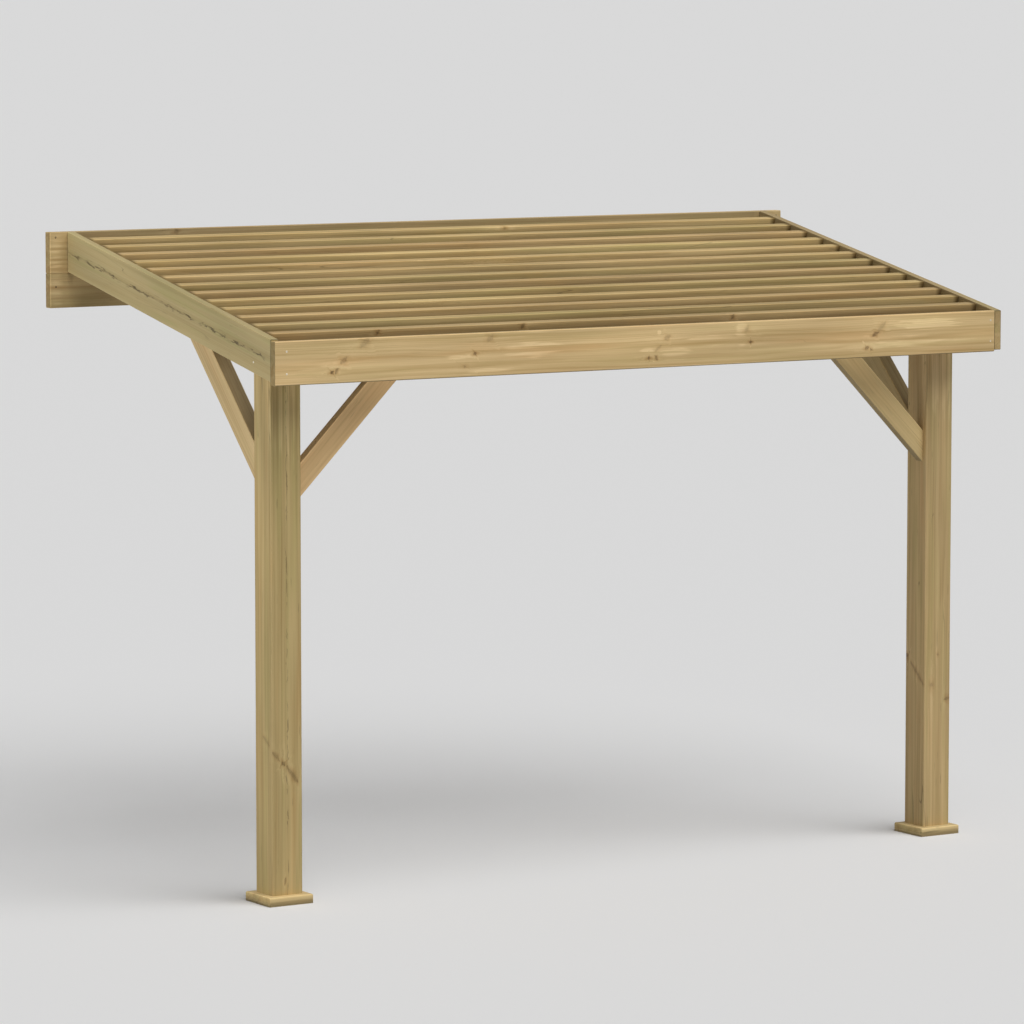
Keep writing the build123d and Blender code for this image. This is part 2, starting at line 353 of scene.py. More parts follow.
# Wear, painted highlights and painted shade from the tone layer make the face paler or darker.
tone = calc(treated_wood, "MULTIPLY_ADD", taken["Wear and painted light"], 0.2, tone)
tone = put(treated_wood, "ShaderNodeCombineColor", {0: tone, 1: tone, 2: tone}).outputs[0]
colour = blend(treated_wood, 1.0, colour, tone, "MULTIPLY")
salts = calc(treated_wood, "MULTIPLY", ease_in(treated_wood, taken["Hue"], 0.52, 0.3), taken["Green"])
colour = blend(treated_wood, salts, colour, (0.8, 0.93, 0.74, 1), "MULTIPLY")
blush = calc(treated_wood, "MULTIPLY", ease_in(treated_wood, taken["Hue"], 0.52, 0.72), taken["Blush"])
colour = blend(treated_wood, blush, colour, (1.0, 0.88, 0.8, 1), "MULTIPLY")
# Pale patches: halos round knots and flames in the wood, and painted light where a patch is set for it.
pale = calc(treated_wood, "MULTIPLY", taken["Halo and painted light"], ease_in(treated_wood, taken["Streak"], 0.58, 0.44))
pale = calc(treated_wood, "MULTIPLY", pale, 0.8)
colour = blend(treated_wood, pale, colour, (1.22, 1.25, 1.34, 1), "MULTIPLY")
stain = calc(treated_wood, "MULTIPLY", taken["Stain"], 0.6)
colour = blend(treated_wood, stain, colour, (0.68, 0.51, 0.34, 1), "MULTIPLY")
knot = calc(treated_wood, "MULTIPLY", taken["Knot"], 0.85)
colour = blend(treated_wood, knot, colour, (0.064, 0.042, 0.017, 1))
cracks = calc(treated_wood, "MULTIPLY", taken["Check"], taken["Checks"])
cracks = calc(treated_wood, "MAXIMUM", cracks, calc(treated_wood, "MULTIPLY", taken["Line"], 0.85))
colour = blend(treated_wood, cracks, colour, (0.09, 0.065, 0.028, 1))
colour = blend(treated_wood, taken["End"], colour, taken["End and shade colour"], "MULTIPLY")
treated_wood.links.new(colour, given["Colour"])
rough = calc(treated_wood, "MULTIPLY_ADD", taken["Fibre"], 0.16, 0.56)
rough = calc(treated_wood, "MULTIPLY_ADD", taken["End"], 0.15, rough)
treated_wood.links.new(calc(treated_wood, "MULTIPLY_ADD", taken["Knot"], -0.14, rough), given["Roughness"])
height = calc(treated_wood, "MULTIPLY", taken["Fibre"], 0.65)
height = calc(treated_wood, "MULTIPLY_ADD", taken["Late wood"], 0.35, height)
treated_wood.links.new(calc(treated_wood, "MULTIPLY_ADD", cracks, -1.6, height), given["Height"])


def treated_softwood(name, place, early, late, green, pith, rings=0.006, knots=(), stray=0.0, spacing=0.25, blush=0.5,
                     checks=0.4, wander=0.03, heart=None, end_and_shade_tint=(0.76, 0.75, 0.7), soaked_and_painted_shade=None, shift=(0, 0, 0),
                     flames_and_painted_light=(), painted_light_ramp=None):
    """Treated softwood laid out in a timber's own axes, with its knots, pale flames and patches of painted light
    where they are known.

    Stray knots come at a spacing and heart is the pith's line. The reach of the end tint is half the length of a
    timber whose ends have drunk the treatment, and near those ends the tint also lays painted shade. The ramp darkens
    and lightens the broad faces as painted shade and painted light, from low to high between two distances on one
    axis.
    """
    material = bpy.data.materials.new(name)
    material.use_nodes = True
    tree = material.node_tree
    finish = tree.nodes["Principled BSDF"]
    coordinates = tree.nodes.new("ShaderNodeTexCoord")
    laid = put(tree, "ShaderNodeMapping", {
        "Vector": coordinates.outputs["Object"], "Location": place.translation, "Rotation": place.to_euler(),
    }, vector_type="TEXTURE").outputs[0]
    masks = {"Knot": 0.0, "Stain": 0.0, "Halo and painted light": 0.0}
    for centre, reach, radius, dark in knots:
        knot = put(tree, "ShaderNodeGroup", {
            "Place": laid, "Centre": centre, "Reach": reach, "Radius": radius, "Strength": dark, **masks,
        }, node_tree=branch_knot)
        laid = knot.outputs["Place"]
        masks = {key: knot.outputs[key] for key in masks}
    for centre, size, pale in flames_and_painted_light:
        masks["Halo and painted light"] = put(tree, "ShaderNodeGroup", {
            "Place": laid, "Halo and painted light": masks["Halo and painted light"], "Centre": centre, "Size": size, "Strength": pale,
        }, node_tree=pale_flame_and_painted_light).outputs["Halo and painted light"]
    line = 0.0
    if heart:
        centre, side, width, dark = heart
        line = put(tree, "ShaderNodeGroup", {
            "Place": laid, "Centre": centre, "Side": side, "Width": width, "Strength": dark,
        }, node_tree=heart_line).outputs["Line"]
    moved = along(tree, "ADD", laid, shift)
    if stray:
        flat = along(tree, "MULTIPLY", moved, (1.0, 0.15, 1.0))
        scatter = put(tree, "ShaderNodeGroup", {
            "Place": flat, "Spacing": spacing, "Radius": stray,
        }, node_tree=stray_knots)
        knot = put(tree, "ShaderNodeGroup", {
            "Place": flat, **{key: scatter.outputs[key] for key in ("Centre", "Radius", "Strength")}, **masks,
        }, node_tree=branch_knot)
        masks = {key: knot.outputs[key] for key in masks}
        moved = along(tree, "ADD", moved, along(tree, "SUBTRACT", knot.outputs["Place"], flat))
    grain = put(tree, "ShaderNodeGroup", {
        "Place": moved, "Pith": Vector(pith) + Vector(shift), "Ring width": rings, "Wander": wander,
    }, node_tree=growth_rings)
    facing = along(tree, "DOT_PRODUCT", coordinates.outputs["Normal"], tuple(place.to_3x3().col[0]), out=1)
    end_and_shade = ease_in(tree, calc(tree, "ABSOLUTE", facing), 0.6, 0.8)
    # Near the ends the tint is partly treatment drunk in and partly painted shade.
    if soaked_and_painted_shade:
        reach = calc(tree, "ABSOLUTE", put(tree, "ShaderNodeSeparateXYZ", {0: laid}).outputs[0])
        end_and_shade = calc(tree, "MAXIMUM", end_and_shade, ease_in(tree, reach, soaked_and_painted_shade - 0.03, soaked_and_painted_shade - 0.006))
    wear_and_light = put(tree, "ShaderNodeAttribute", attribute_name="wear_and_painted_light").outputs["Fac"]
    # Painted light ramp: the broad faces are darkened or paled by place, as painted shade and painted light.
    if painted_light_ramp:
        axis, start, end, low, high = painted_light_ramp
        reach = put(tree, "ShaderNodeSeparateXYZ", {0: laid}).outputs[axis]
        if axis == 0:
            reach = calc(tree, "ABSOLUTE", reach)
        painted_ramp = put(tree, "ShaderNodeMapRange", {
            "Value": reach, "From Min": start, "From Max": end, "To Min": low, "To Max": high,
        }).outputs[0]
        broadside = along(tree, "DOT_PRODUCT", coordinates.outputs["Normal"], tuple(place.to_3x3().col[1]), out=1)
        wear_and_light = calc(tree, "MULTIPLY_ADD", calc(tree, "ABSOLUTE", broadside), painted_ramp, wear_and_light)
    wood = put(tree, "ShaderNodeGroup", {
        **{key: grain.outputs[key] for key in ("Late wood", "Streak", "Fibre", "Tone", "Hue", "Check")},
        "Line": line, "End": end_and_shade, "Wear and painted light": wear_and_light, "Early colour": (*early, 1), "Late colour": (*late, 1),
        "End and shade colour": (*end_and_shade_tint, 1), "Green": green, "Blush": blush, "Checks": checks, **masks,
    }, node_tree=treated_wood)
    tree.links.new(wood.outputs["Colour"], finish.inputs["Base Color"])
    tree.links.new(wood.outputs["Roughness"], finish.inputs["Roughness"])
    finish.inputs["Specular IOR Level"].default_value = 0.3
    relief = put(tree, "ShaderNodeBump", {"Height": wood.outputs["Height"], "Strength": 0.5, "Distance": 0.0008})
    tree.links.new(relief.outputs[0], finish.inputs["Normal"])
    return material


EAST, UP = Vector((1, 0, 0)), Vector((0, 0, 1))
PLANED_ARRIS, BOARD_END_ARRIS = 0.003, 0.005
# Painted shade makes the boards darker on their broad faces between the rafters, where the roof shades them, and a
# painted highlight makes their ends past the roof paler.
PAINTED_SHADE_BETWEEN_RAFTERS = (0, 1.5, 1.565, -1.3, 0.0)
PAINTED_HIGHLIGHT_AT_ENDS = [((lean * 1.607, 0, 0), (0.03, 0.1, 0.2), 1.2) for lean in (-1, 1)]
for node, early, late, pith, knots, shift in (
    ("upper_wall_board", (0.59, 0.435, 0.21), (0.44, 0.3, 0.125), (0, 0.05, 0.03),
     [((-1.106, -0.019, 0.066), (0.008, 0, 0.003), 0.008, 0.6)], (0.4, 0, 0)),
    ("lower_wall_board", (0.48, 0.355, 0.172), (0.34, 0.23, 0.097), (0, 0.06, -0.02), [], (2.7, 0, 0)),
):
    low, high = box_corners(node)
    outline, across = box_outline(low, high)
    # The edges of the sawn ends are painted paler, a painted highlight.
    board = sawn_timber(f"planed_{node}", outline, across, EAST, PLANED_ARRIS, BOARD_END_ARRIS, end_edge_painted_light=1.2)
    board.data.materials.append(treated_softwood(
        f"{node}_softwood", grain_frame((low + high) / 2, EAST, UP), early, late, green=0.3, pith=pith,
        knots=knots, stray=0.011, spacing=0.3, shift=shift, painted_light_ramp=PAINTED_SHADE_BETWEEN_RAFTERS, flames_and_painted_light=PAINTED_HIGHLIGHT_AT_ENDS,
    ))
    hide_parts(node)

# OUTER RAFTERS
# Two planed boards on edge that close the roof's sides. They slope down from the wall boards
# and are cut plumb at both ends. The left one is cut through the heart and shows the pith as a broken line.
PITCH = radians(11.4)
UP_SLOPE = Vector((0, cos(PITCH), sin(PITCH)))
OFF_SLOPE = Vector((0, -sin(PITCH), cos(PITCH)))
RAFTER_DEPTH = 0.145
rafter_plumb = RAFTER_DEPTH / cos(PITCH)
pith_line = ((0, 0, 0), UP, 0.007, 1.0)
for node, early, late, green, pith, heart, shift in (
    ("left_rafter", (0.485, 0.388, 0.19), (0.4, 0.305, 0.135), 0.45, (0, 0.02, 0.0), pith_line, (0.9, 0, 0)),
    ("right_rafter", (0.5, 0.38, 0.19), (0.37, 0.26, 0.11), 0.5, (0, 0.05, 0.02), None, (5.1, 0, 0)),
):
    low, high = box_corners(node)
    outline = [
        (low.x, low.y, low.z), (low.x, low.y, low.z + rafter_plumb),
        (low.x, high.y, high.z), (low.x, high.y, high.z - rafter_plumb),
    ]
    across = (high.x - low.x, 0, 0)
    # The edges of the sawn ends carry painted shade, where the rafters butt against other timbers.
    rafter = sawn_timber(f"planed_{node}", outline, across, UP_SLOPE, PLANED_ARRIS, PLANED_ARRIS, end_edge_painted_light=-2.5)
    rafter.data.materials.append(treated_softwood(
        f"{node}_softwood", grain_frame((low + high) / 2, UP_SLOPE, OFF_SLOPE), early, late, green, pith,
        stray=0.005, spacing=0.4, blush=0.15, heart=heart, end_and_shade_tint=(1.04, 0.99, 0.95), shift=shift,
    ))
    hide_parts(node)

# FRONT BEAM
# One wide planed board across the front, the piece the eye meets first. It is knotty, with the grain
# parting round each knot, and is screwed to the ends of the rafters.
low, high = box_corners("front_beam")
beam_middle = (low + high) / 2
beam_knots = []
for x, z, reach, radius, dark in (
    (-1.3349, -0.3503, (0.002, 0, 0.002), 0.0075, 1.0),
    (-1.316, -0.346, (0.006, 0, 0.005), 0.004, 0.6),
    (-1.2887, -0.3109, (0.01, 0, 0.008), 0.009, 0.45),
    (-1.201, -0.252, (0.016, 0, 0.014), 0.011, 0.34),
    (-0.7542, -0.3079, (0.003, 0, 0.002), 0.007, 0.8),
    (-0.7964, -0.3503, (0.001, 0, 0.002), 0.008, 0.4),
    (-0.691, -0.256, (0.008, 0, 0.007), 0.0115, 0.32),
    (-0.0205, -0.3526, (0.002, 0, 0), 0.0075, 1.0),
    (0.01, -0.352, (0.005, 0, -0.004), 0.004, 0.6),
    (0.059, -0.281, (0.008, 0, 0.004), 0.009, 0.36),
    (0.02, -0.318, (0.012, 0, 0.01), 0.005, 0.25),
    (0.4225, -0.3101, (0.004, 0, 0), 0.006, 0.9),
    (0.404, -0.265, (0.004, 0, 0.01), 0.009, 0.3),
    (0.9812, -0.303, (0.012, 0, 0.006), 0.0065, 0.75),
    (1.01, -0.278, (0.014, 0, 0.016), 0.009, 0.3),
    (0.9431, -0.3528, (0.004, 0, 0.003), 0.008, 0.75),
    (0.962, -0.357, (0.004, 0, -0.004), 0.004, 0.6),
):
    beam_knots.append((Vector((x, low.y, z)) - beam_middle, reach, radius, dark))
beam_flames = [
    (Vector((x, low.y, z)) - beam_middle, (length, 0.03, height), pale) for x, z, length, height, pale in (
        (-0.511, -0.302, 0.115, 0.026, 3.0), (-0.519, -0.245, 0.09, 0.014, 2.5), (-0.818, -0.315, 0.055, 0.01, 2.5),
        (-0.69, -0.371, 0.1, 0.012, 2.0), (-0.027, -0.325, 0.036, 0.014, 3.0), (0.092, -0.34, 0.08, 0.022, 3.0),
        (0.283, -0.3, 0.15, 0.019, 3.0), (0.382, -0.281, 0.03, 0.05, 2.5), (1.224, -0.277, 0.14, 0.027, 3.0),
        (1.171, -0.334, 0.2, 0.023, 2.5), (0.024, -0.262, 0.009, 0.009, 4.0), (0.003, -0.355, 0.01, 0.01, 4.0),
    )
]
outline, across = box_outline(low, high)
# The upper eased edges are paler, partly wear and partly a painted highlight; the lower eased edges carry painted
# shade.
beam = sawn_timber("planed_front_beam", outline, across, EAST, PLANED_ARRIS, edge_wear_and_highlight=0.9, lower_edge_wear_and_shade=-2.5)
beam.data.materials.append(treated_softwood(
    "front_beam_softwood", grain_frame(beam_middle, EAST, UP), (0.78, 0.565, 0.282), (0.535, 0.36, 0.144),
    green=0.2, pith=(0, 0.06, -0.02), knots=beam_knots, flames_and_painted_light=beam_flames, checks=0.12,
    end_and_shade_tint=(0.42, 0.44, 0.4), shift=(1.3, 0, 0),
))
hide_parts("front_beam")

# ROOF SLATS
# Thirteen battens on edge, square to the slope, between the outer rafters and just under their top edges.
# They are sawn from smaller stock, so each one has a tone of its own. The first shows three knots on its front face.
SLAT_COUNT, SLAT_ARRIS = 13, 0.0025
HALF_THICK, HALF_DEPTH = 0.015, 0.0225
FIRST_SLAT_KNOTS = (-1.083, -0.484, 0.422)
for number in range(1, SLAT_COUNT + 1):
    node = f"slat_{number:02d}"
    low, high = box_corners(node)
    length = high.x - low.x
    middle = (low + high) / 2
    end_middle = Vector((low.x, middle.y, middle.z))
    outline = [
        end_middle + UP_SLOPE * HALF_THICK * up + OFF_SLOPE * HALF_DEPTH * off
        for up, off in ((-1, -1), (1, -1), (1, 1), (-1, 1))
    ]
    slat = sawn_timber(f"planed_{node}", outline, (length, 0, 0), EAST, SLAT_ARRIS)
    warm = 0.5 + 0.5 * sin(number * 2.4)
    # The tone differs from slat to slat and also steps a little paler from the first slat to the last.
    shade = 0.99 + 0.08 * sin(number * 5.1) + 0.012 * (number - 6)
    early = (0.61 * shade, (0.455 - 0.02 * warm) * shade, 0.205 * shade)
    late = (0.41 * shade, (0.285 - 0.015 * warm) * shade, 0.105 * shade)
    # Painted light and shade: each slat's front and back faces are paler towards their top and darker towards their
    # bottom, and near the ends its faces are darker, partly from treatment drunk in and partly as painted shade where
    # it meets the rafters.
    slat.data.materials.append(treated_softwood(
        f"{node}_softwood", grain_frame(middle, EAST, OFF_SLOPE), early, late, green=0.4 * (1 - warm),
        pith=(0, 0.03 * sin(number * 1.7), 0.03 * cos(number * 2.9)), rings=0.005, stray=0.009, spacing=0.3,
        blush=0.35, end_and_shade_tint=(0.32, 0.29, 0.22), soaked_and_painted_shade=length / 2, painted_light_ramp=(2, 0.0, HALF_DEPTH, -1.1, 1.8),
        knots=[
            ((x, -HALF_THICK, 0.012), (0.004, 0, 0.006), 0.007, 0.7)
            for x in (FIRST_SLAT_KNOTS if number == 1 else ())
        ],
        shift=(number * 3.7, 0, 0),
    ))
    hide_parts(node)

# HEADER AND INNER RAFTERS
# A timber on edge between the post tops, out of sight behind the beam, and three rafters under the slats.
# The outer two rest on the posts and take the side braces. The middle one is notched over the header.
SAWN_ARRIS = 0.002
HIDDEN_EARLY, HIDDEN_LATE = (0.5, 0.38, 0.19), (0.37, 0.26, 0.11)
header_low, header_high = box_corners("post_header")
outline, across = box_outline(header_low, header_high)
header = sawn_timber("sawn_post_header", outline, across, EAST, SAWN_ARRIS)
header.data.materials.append(treated_softwood(
    "post_header_softwood", grain_frame((header_low + header_high) / 2, EAST, UP), HIDDEN_EARLY, HIDDEN_LATE,
    green=0.4, pith=(0, 0.04, -0.02), stray=0.01, shift=(7.3, 0, 0),
))
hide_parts("post_header")
slope = sin(PITCH) / cos(PITCH)
for number, node in enumerate(("left_inner_rafter", "middle_inner_rafter", "right_inner_rafter")):
    low, high = box_corners(node)
    top_front = high.z - (high.y - low.y) * slope
    foot_back = low.z + (high.y - low.y) * slope
    outline = [
        (low.x, low.y, low.z), (low.x, low.y, top_front),
        (low.x, high.y, high.z), (low.x, high.y, foot_back),
    ]
    if node == "middle_inner_rafter":
        outline += [
            (low.x, header_high.y, low.z + (header_high.y - low.y) * slope),
            (low.x, header_high.y, header_high.z),
            (low.x, header_low.y, header_high.z),
            (low.x, header_low.y, low.z + (header_low.y - low.y) * slope),
        ]
    rafter = sawn_timber(f"sawn_{node}", outline, (high.x - low.x, 0, 0), UP_SLOPE, SAWN_ARRIS)
    rafter.data.materials.append(treated_softwood(
        f"{node}_softwood", grain_frame((low + high) / 2, UP_SLOPE, OFF_SLOPE), HIDDEN_EARLY, HIDDEN_LATE,
        green=0.5, pith=(0, 0.03, 0.02), stray=0.01, shift=(11.0 + number * 2.3, 0, 0),
    ))
    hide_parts(node)

# POSTS
# Two square planed posts with eased corners. They stand on wooden plates, and their tops are cut
# to the roof slope. Each has a whorl of knots that crosses two faces on the slant.
NORTH = Vector((0, 1, 0))
POST_ARRIS = 0.004
POST_FRONT, LEFT_POST_SIDE, RIGHT_POST_SIDE = -1.398, -1.475, 1.355
UNDER_BEAM = -0.46
for node, knots, heart, green, early, late, shift in (
    ("left_post", (
        ((-1.4301, POST_FRONT, -1.7333), (0.003, 0, -0.004), 0.0085, 0.8),
        ((-1.4575, POST_FRONT, -1.706), (0.015, 0, -0.016), 0.006, 0.5),
        ((-1.3963, POST_FRONT, -1.772), (0.022, 0, -0.028), 0.008, 0.55),
        ((LEFT_POST_SIDE, -1.355, -1.654), (0, 0.022, 0.014), 0.006, 0.35),
        ((-1.4249, POST_FRONT, -2.152), (0.002, 0, 0.012), 0.003, 0.5),
    ), ((0, 0.001, 0.06), NORTH, 0.003, 0.55), 0.36, (0.545, 0.41, 0.186), (0.376, 0.265, 0.101), (0.7, 0, 0)),
    ("right_post", (
        ((RIGHT_POST_SIDE, -1.2847, -1.5576), (0, -0.004, -0.004), 0.009, 1.0),
        ((RIGHT_POST_SIDE, -1.35, -1.617), (0, -0.04, -0.038), 0.0065, 0.45),
        ((1.3882, POST_FRONT, -1.6596), (0, 0, 0), 0.009, 0.4),
        ((1.4599, POST_FRONT, -1.7161), (0.012, 0, 0.003), 0.006, 0.55),
        ((1.4157, POST_FRONT, -1.5459), (0.003, 0, 0), 0.006, 0.4),
    ), None, 0.35, (0.58, 0.42, 0.205), (0.4, 0.272, 0.115), (4.9, 0, 0)),
):
    low, high = box_corners(node)
    axes = grain_frame((low + high) / 2, UP, NORTH)
    laid_knots = [
        (axes.inverted() @ Vector(centre), axes.to_3x3().inverted() @ Vector(reach), radius, dark)
        for centre, reach, radius, dark in knots
    ]
    # Painted light: a pale patch on the front face just under the beam takes out part of the beam's shadow there.
    painted_light_under_beam = axes.inverted() @ Vector(((low.x + high.x) / 2, low.y, UNDER_BEAM))
    outline = [
        (low.x, low.y, low.z), (low.x, low.y, high.z - (high.y - low.y) * slope),
        (low.x, high.y, high.z), (low.x, high.y, low.z),
    ]
    post = sawn_timber(f"planed_{node}", outline, (high.x - low.x, 0, 0), UP, POST_ARRIS, edge_wear_and_highlight=0.0)
    post.data.materials.append(treated_softwood(
        f"{node}_softwood", axes, early, late, green, pith=(0, 0.02, 0.015), knots=laid_knots, rings=0.007,
        shift=shift, checks=0.5, wander=0.02, heart=heart, flames_and_painted_light=[(painted_light_under_beam, (0.17, 0.1, 0.035), 3.0)],
    ))
    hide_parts(node)

# BASE PLATES
# A square plate of treated softwood under each post, which spreads its load.
# Its corners are eased and its upper edges rounded over.
PLATE_CORNER, PLATE_ROUND = 0.004, 0.006
PAINTED_SHADE_ON_PLATE_TOP = -0.9
for node, shift in (("left_base_plate", (0.2, 0, 0)), ("right_base_plate", (1.6, 0, 0))):
    low, high = box_corners(node)
    bm = bmesh.new()
    wear_and_light = bm.faces.layers.float.new("wear_and_painted_light")
    bmesh.ops.create_cube(bm, size=1.0)
    bmesh.ops.scale(bm, vec=high - low, verts=bm.verts)
    bmesh.ops.translate(bm, vec=(low + high) / 2, verts=bm.verts)
    upright = [edge for edge in bm.edges if abs(edge.verts[0].co.z - edge.verts[1].co.z) > 0.01]
    bmesh.ops.bevel(
        bm, geom=upright, offset=PLATE_CORNER, offset_type="OFFSET", segments=3, profile=0.5,
        affect="EDGES", material=-1,
    )
    rounded = [edge for edge in bm.edges if min(vert.co.z for vert in edge.verts) > high.z - 0.0001]
    bmesh.ops.bevel(
        bm, geom=rounded, offset=PLATE_ROUND, offset_type="OFFSET", segments=4, profile=0.5,
        affect="EDGES", material=-1,
    )
    # Painted shade: the top face is painted darker.
    for face in bm.faces:
        face[wear_and_light] = PAINTED_SHADE_ON_PLATE_TOP if face.normal.z > 0.9 else 0.0
    plate = softened_piece(f"rounded_{node}", bm)
    plate.data.materials.append(treated_softwood(
        f"{node}_softwood", grain_frame((low + high) / 2, EAST, UP), (0.86, 0.67, 0.335), (0.64, 0.465, 0.21),
        green=0.3, pith=(0, 0.03, -0.05), shift=shift,
    ))
    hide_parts(node)

# BRACES
# Four braces at forty-five degrees in the posts' upper corners: two across the front up to the header
# and two at the sides up to the inner rafters. Their ends are cut to lie flat on what they meet.
FRONT_BRACE_WIDTH, SIDE_BRACE_WIDTH = 0.084, 0.091
front_cut, side_cut = FRONT_BRACE_WIDTH * sqrt(2), SIDE_BRACE_WIDTH * sqrt(2)
# Painted shade darkens the front braces' upper and lower narrow faces and the side braces' upper faces, most of all
# on the left side brace.
PAINTED_SHADE_ON_EDGES = -2.2
for side, lean, front_early, front_late, blush, early, late, upper_face_shade in (
    ("left", 1, (0.86, 0.593, 0.295), (0.69, 0.455, 0.208), 0.5, (0.7, 0.525, 0.268), (0.515, 0.36, 0.165), -2.0),
    ("right", -1, (0.74, 0.56, 0.272), (0.58, 0.42, 0.19), 0.2, (0.47, 0.348, 0.16), (0.335, 0.235, 0.098), -1.2),
):
    node = f"{side}_front_brace"
    low, high = box_corners(node)
    foot, head = (low.x, high.x) if lean > 0 else (high.x, low.x)
    outline = [
        (foot, low.y, low.z), (head, low.y, high.z),
        (head - lean * front_cut, low.y, high.z), (foot, low.y, low.z + front_cut),
    ]
    grain = Vector((lean, 0, 1)).normalized()
    brace = sawn_timber(
        f"planed_{node}", outline, (0, high.y - low.y, 0), grain, PLANED_ARRIS, upper_face_shade=PAINTED_SHADE_ON_EDGES, lower_face_shade=PAINTED_SHADE_ON_EDGES,
    )
    brace.data.materials.append(treated_softwood(
        f"{node}_softwood", grain_frame((low + high) / 2, grain, Vector((-lean, 0, 1)).normalized()),
        front_early, front_late, green=0.1, pith=(0, 0.06, 0.02), stray=0.008, blush=blush,
        shift=(3.1 + lean, 0, 0),
    ))
    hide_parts(node)
    node = f"{side}_side_brace"
    low, high = box_corners(node)
    upper = (high.z - (high.y - low.y) * slope - low.z - side_cut) / (1 - slope)
    outline = [
        (low.x, low.y, low.z), (low.x, high.y, high.z),
        (low.x, low.y + upper, low.z + side_cut + upper), (low.x, low.y, low.z + side_cut),
    ]
    grain = Vector((0, 1, 1)).normalized()
    brace = sawn_timber(f"planed_{node}", outline, (high.x - low.x, 0, 0), grain, PLANED_ARRIS, upper_face_shade=upper_face_shade)
    brace.data.materials.append(treated_softwood(
        f"{node}_softwood", grain_frame((low + high) / 2, grain, Vector((0, -1, 1)).normalized()),
        early, late, green=0.15, pith=(0, 0.05, 0.03), stray=0.008, shift=(6.4 + lean, 0, 0),
    ))
    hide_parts(node)

# SCREWS
# Wood screws with a six-lobed drive, zinc plated in the beam and the outer rafters. In the wall boards they are
# painted near black, as painted shade for heads sunk in their holes. Their heads are driven in until they stand just
# proud of the wood.
ZINC, PAINTED_SHADE_COAT = 0, 1
BEAM_FACE, RAFTER_FACE, BOARD_FACE = -1.583, 1.561, -0.038
BOARD_SCREW_OUT = 1.6096
LOBES, LOBE_DEPTH = 6, 0.2
screws = [((x, BEAM_FACE, z), -NORTH, ZINC) for x in (-1.5148, 1.5123) for z in (-0.2711, -0.3487)]
screws += [((lean * RAFTER_FACE, -1.4307, -0.3149), EAST * lean, ZINC) for lean in (-1, 1)]
screws += [
    ((lean * BOARD_SCREW_OUT, BOARD_FACE, z), -NORTH, PAINTED_SHADE_COAT) for lean in (-1, 1) for z in (0.0561, -0.1255)
]
# The head from the middle of its drive, over the rim and back under, as far out and as high as each point is.
head_profile = (
    (0, -0.0014), (0.0013, -0.0013), (0.0018, 0.0004), (0.003, 0.0003), (0.0038, -0.0002),
    (0.004, -0.0012), (0.0018, -0.004), (0, -0.0042),
)
bm = bmesh.new()
for place, out, coat in screws:
    place, side = Vector(place), UP
    line = [bm.verts.new(place + side * reach + out * rise) for reach, rise in head_profile]
    edges = [bm.edges.new(pair) for pair in zip(line, line[1:])]
    bmesh.ops.spin(bm, geom=line + edges, cent=place, axis=out, angle=radians(360), steps=36, use_merge=True)
    for vert in bm.verts:
        offset = vert.co - place
        spoke = offset - out * offset.dot(out)
        if 0.001 < spoke.length < 0.0019 and -0.002 < offset.dot(out) < 0.001:
            vert.co += spoke * LOBE_DEPTH * cos(LOBES * spoke.angle(side))
    for face in bm.faces:
        if (face.calc_center_median() - place).length < 0.006:
            face.material_index = coat
bmesh.ops.remove_doubles(bm, verts=bm.verts, dist=0.000001)
bmesh.ops.recalc_face_normals(bm, faces=bm.faces)
mesh = bpy.data.meshes.new("screw_heads")
bm.to_mesh(mesh)
bm.free()
mesh.shade_smooth()
heads = bpy.data.objects.new("screw_heads", mesh)
bpy.context.collection.objects.link(heads)
for name, bright, dull, base_rough in (
    ("zinc_plate", (0.78, 0.75, 0.66), (0.58, 0.55, 0.46), 0.25),
    # Painted shade: the near black coat of the wall boards' screws.
    ("painted_shade_steel", (0.1, 0.085, 0.06), (0.05, 0.04, 0.03), 0.45),
):
    coat = bpy.data.materials.new(name)
    coat.use_nodes = True
    tree = coat.node_tree
    finish = tree.nodes["Principled BSDF"]
    finish.inputs["Metallic"].default_value = 1.0
    spot = tree.nodes.new("ShaderNodeTexCoord").outputs["Object"]
    bloom = cloud(tree, spot, (700.0, 700.0, 700.0), 3.0).outputs[0]
    tree.links.new(blend(tree, bloom, (*bright, 1), (*dull, 1)), finish.inputs["Base Color"])
    tree.links.new(calc(tree, "MULTIPLY_ADD", bloom, 0.3, base_rough), finish.inputs["Roughness"])
    mesh.materials.append(coat)
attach(heads, "root")

# FLOOR
# A plain pale studio floor that runs out to the horizon.
# It is matt and catches the object's soft shadow.
FLOOR_REACH = 700
floor_mesh = bpy.data.meshes.new("studio_floor")
bm = bmesh.new()
bmesh.ops.create_grid(bm, x_segments=1, y_segments=1, size=FLOOR_REACH)
bmesh.ops.translate(bm, vec=(0, 0, cad_box[0][2]), verts=bm.verts)
bm.to_mesh(floor_mesh)
bm.free()
floor = bpy.data.objects.new("studio_floor", floor_mesh)
bpy.context.collection.objects.link(floor)
floor_paint = bpy.data.materials.new("floor_paint")
floor_paint.use_nodes = True
paint = floor_paint.node_tree


def looked_at(tree):
    """One where a ray comes straight from the camera or by a mirror, so that the pale room itself is shown."""
    ray = tree.nodes.new("ShaderNodeLightPath").outputs
    return calc(tree, "MAXIMUM", ray["Is Camera Ray"],
                calc(tree, "MAXIMUM", ray["Is Glossy Ray"], ray["Is Transmission Ray"]))


matt = paint.nodes["Principled BSDF"]
shown = blend(paint, looked_at(paint), (0.55, 0.55, 0.55, 1), (0.89, 0.89, 0.89, 1))
paint.links.new(shown, matt.inputs["Base Color"])
matt.inputs["Roughness"].default_value = 0.9
matt.inputs["Specular IOR Level"].default_value = 0.1
floor_mesh.materials.append(floor_paint)

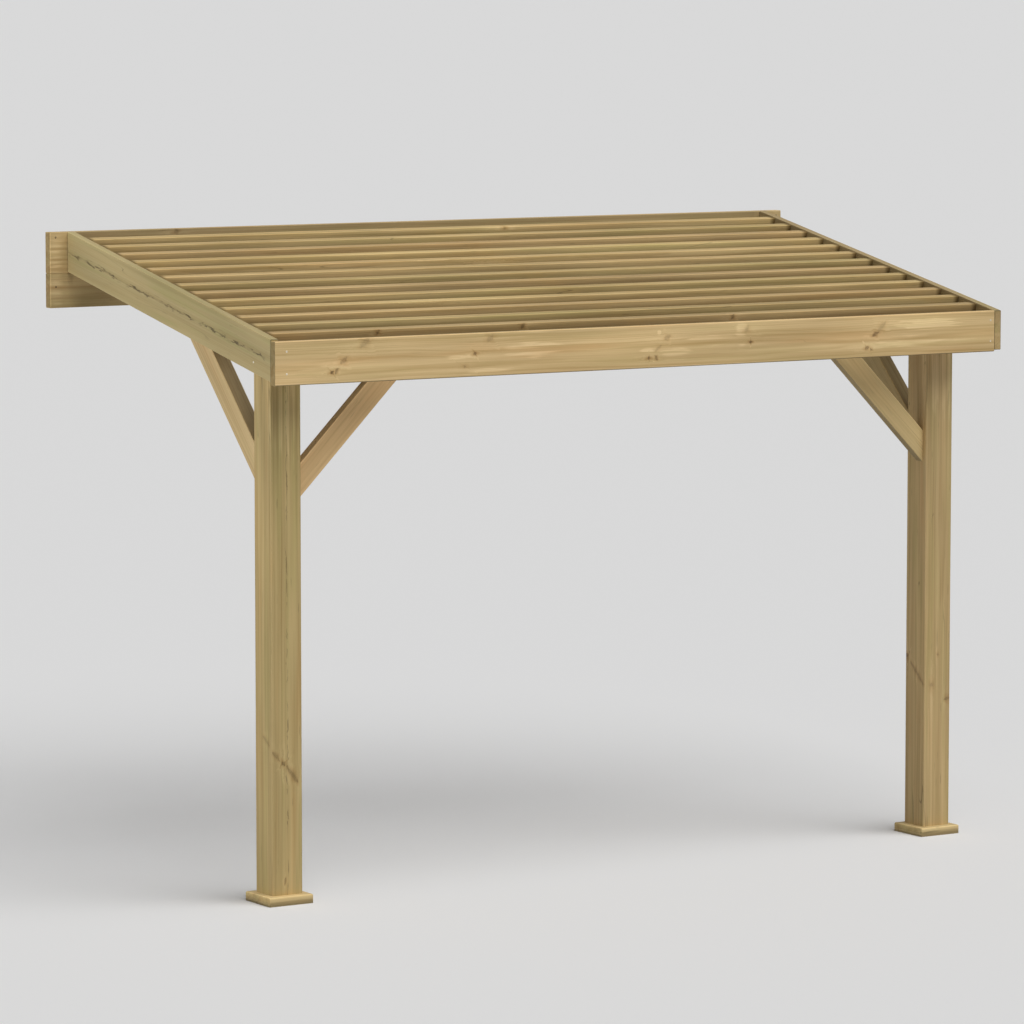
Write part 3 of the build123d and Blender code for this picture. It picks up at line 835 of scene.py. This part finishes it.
# LIGHT
# A broad soft lamp in front and above, a soft box near the left post, and a faint glow from the room all round.
# The soft box leaves the floor out, so that no bright patch shows beside the object.
world = bpy.data.worlds.new("pale_room")
bpy.context.scene.world = world
world.use_nodes = True
room = world.node_tree
glow = room.nodes["Background"]
glow.inputs["Color"].default_value = (1, 1, 1, 1)
glow.inputs["Strength"].default_value = 0.12
seen = put(room, "ShaderNodeBackground", {"Color": (0.7, 0.7, 0.7, 1), "Strength": 1.0})
mixed = put(room, "ShaderNodeMixShader", {0: looked_at(room), 1: glow.outputs[0], 2: seen.outputs[0]})
room.links.new(mixed.outputs[0], room.nodes["World Output"].inputs["Surface"])
lamp_data = bpy.data.lights.new("front_lamp", "SUN")
lamp_data.energy = 2.45
lamp_data.angle = radians(60)
lamp = bpy.data.objects.new("front_lamp", lamp_data)
bpy.context.collection.objects.link(lamp)
lamp.rotation_euler = Vector((-0.3, 1, -1.6)).to_track_quat("-Z", "Y").to_euler()
lamp_data = bpy.data.lights.new("side_lamp", "AREA")
lamp_data.energy = 78
lamp_data.size = 2.5
lamp = bpy.data.objects.new("side_lamp", lamp_data)
bpy.context.collection.objects.link(lamp)
lamp.location = (-5.4, -1.2, -0.5)
lamp.rotation_euler = (Vector((-1.45, -1.3, -1.0)) - lamp.location).to_track_quat("-Z", "Y").to_euler()
left_out = bpy.data.collections.new("side_lamp_leaves_out")
left_out.objects.link(floor)
lamp.light_linking.receiver_collection = left_out
left_out.collection_objects[0].light_linking.link_state = "EXCLUDE"

# CAMERA
# A long lens, a little above the roof and well to the left.
# It looks down on the slats and along the front beam.
SENSOR_WIDTH, FOCAL_PIXELS, IMAGE_PIXELS = 36, 5290, 1024
LOOKS_DOWN, TURNED_RIGHT = 5.949, 32.05
view_data = bpy.data.cameras.new("view")
view_data.sensor_width = SENSOR_WIDTH
view_data.lens = SENSOR_WIDTH * FOCAL_PIXELS / IMAGE_PIXELS
view_data.clip_end = 2000
view = bpy.data.objects.new("view", view_data)
bpy.context.collection.objects.link(view)
view.location = (-10.491, -17.38, 1.0665)
view.rotation_euler = (radians(90 - LOOKS_DOWN), 0, -radians(TURNED_RIGHT))
bpy.context.scene.camera = view
bpy.context.scene.view_settings.view_transform = "Standard"
